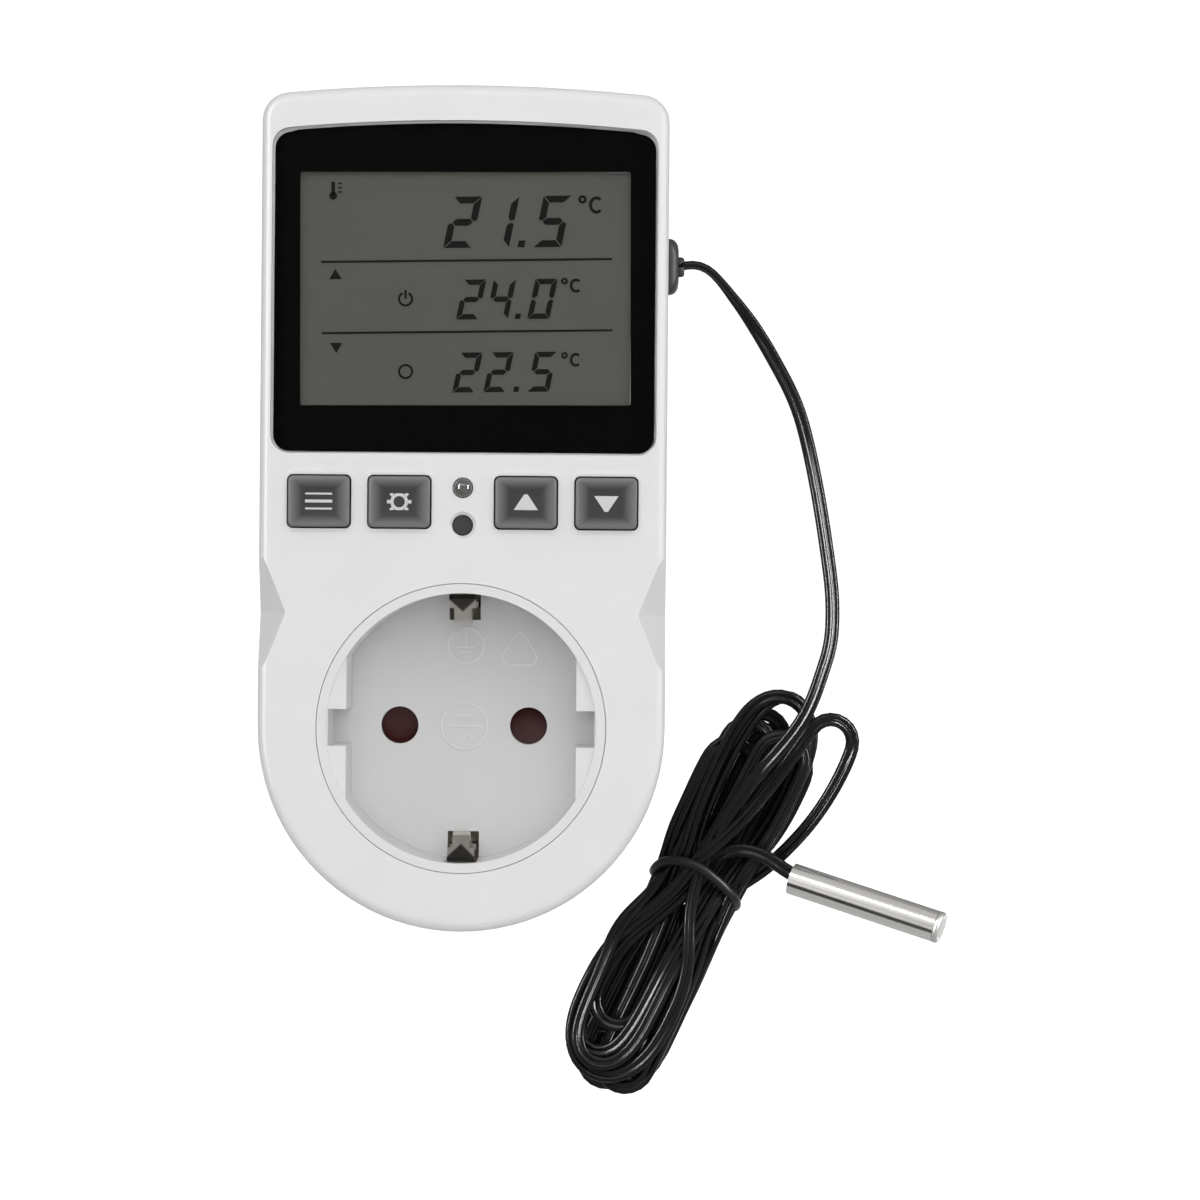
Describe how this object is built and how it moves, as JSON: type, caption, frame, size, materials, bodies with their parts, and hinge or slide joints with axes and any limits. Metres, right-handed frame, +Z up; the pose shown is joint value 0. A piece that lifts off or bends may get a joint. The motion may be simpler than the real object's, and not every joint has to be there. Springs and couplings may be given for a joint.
{
  "type": "plug in temperature controller",
  "caption": "Plug in temperature controller: display and keys over a shuttered earthed socket, plug boss behind, and a steel probe on a tied flat cord.",
  "frame": {"origin": "centre of the plug's engagement face, on the common axis of the plug and the socket", "axes": "+Y points into the wall outlet, along the plug pins; the display and the socket face -Y; +Z is up; +X is the side of the probe cord"},
  "size_m": [0.1005, 0.0791, 0.1494],
  "materials": {
    "housing": "fine satin texture",
    "window": "clear over a printed black mask",
    "lcd": "grey reflective LCD",
    "white_plastic": "moulded",
    "zebra": "soft",
    "board": "solder mask",
    "black_moulding": "moulded",
    "key": "satin",
    "reset_button": "satin",
    "lamp": "tinted clear",
    "ivory_plastic": "moulded",
    "relay": "moulded",
    "film_capacitor": "moulded",
    "smoothing_capacitor": "sleeved",
    "varistor": "dipped",
    "socket": "satin",
    "shutter": "moulded",
    "base": "heat resistant moulding",
    "spring_steel": "drawn wire",
    "earth_metal": "nickel plated",
    "contact_metal": "stamped",
    "pin_metal": "nickel plated brass",
    "grommet": "satin",
    "screw_steel": "zinc plated",
    "cord_jacket": "flat twin cord, satin",
    "tie": "covered wire",
    "probe_steel": "bright stainless",
    "potting": "cast resin",
    "bead": "glazed"
  },
  "bodies": {
    "housing": {"front_shell": "housing", "rear_shell": "housing", "display_window": "window", "lcd_glass": "lcd", "lcd_frame": "white_plastic", "zebra_strips": "zebra", "display_board": "board", "power_board": "board", "controller_chip": "black_moulding", "tact_switches": "black_moulding", "status_lamp": "lamp", "board_link": "ivory_plastic", "sensor_connector": "ivory_plastic", "relay": "relay", "film_capacitor": "film_capacitor", "smoothing_capacitor": "smoothing_capacitor", "varistor": "varistor", "socket_cup": "socket", "contact_base": "base", "shutter_spring": "spring_steel", "earth_bracket": "earth_metal", "plug_earth_strips": "earth_metal", "line_contact": "contact_metal", "neutral_contact": "contact_metal", "line_strip": "contact_metal", "line_pin": "pin_metal", "neutral_pin": "pin_metal", "cord_grommet": "grommet", "housing_screws": "screw_steel", "display_screws": "screw_steel", "power_screws": "screw_steel", "probe_cord": "cord_jacket", "cord_hank": "cord_jacket", "probe_lead": "cord_jacket", "cord_tail": "cord_jacket", "cord_tie": "tie", "probe_tube": "probe_steel", "probe_potting": "potting", "thermistor_bead": "bead"},
    "mode_key": {"mode_key": "key", "mode_plunger": "black_moulding"},
    "set_key": {"set_key": "key", "set_plunger": "black_moulding"},
    "up_key": {"up_key": "key", "up_plunger": "black_moulding"},
    "down_key": {"down_key": "key", "down_plunger": "black_moulding"},
    "reset_button": {"reset_button": "reset_button", "reset_plunger": "black_moulding"},
    "shutter": {"shutter": "shutter"}
  },
  "joints": [
    {"name": "mode_key_press", "type": "slide", "parent": "housing", "child": "mode_key", "axis": [0, 1, 0], "range_m": [0, 0.0004], "stiffness_N_per_m": 400},
    {"name": "set_key_press", "type": "slide", "parent": "housing", "child": "set_key", "axis": [0, 1, 0], "range_m": [0, 0.0004], "stiffness_N_per_m": 400},
    {"name": "up_key_press", "type": "slide", "parent": "housing", "child": "up_key", "axis": [0, 1, 0], "range_m": [0, 0.0004], "stiffness_N_per_m": 400},
    {"name": "down_key_press", "type": "slide", "parent": "housing", "child": "down_key", "axis": [0, 1, 0], "range_m": [0, 0.0004], "stiffness_N_per_m": 400},
    {"name": "reset_button_press", "type": "slide", "parent": "housing", "child": "reset_button", "axis": [0, 1, 0], "range_m": [0, 0.0004], "stiffness_N_per_m": 400},
    {"name": "shutter_turn", "type": "hinge", "parent": "housing", "child": "shutter", "pos_m": [0, -0.0376, 0], "axis": [0, 1, 0], "range_deg": [0, 40], "stiffness_Nm_per_rad": 0.002, "deforming": ["shutter_spring"]}
  ]
}
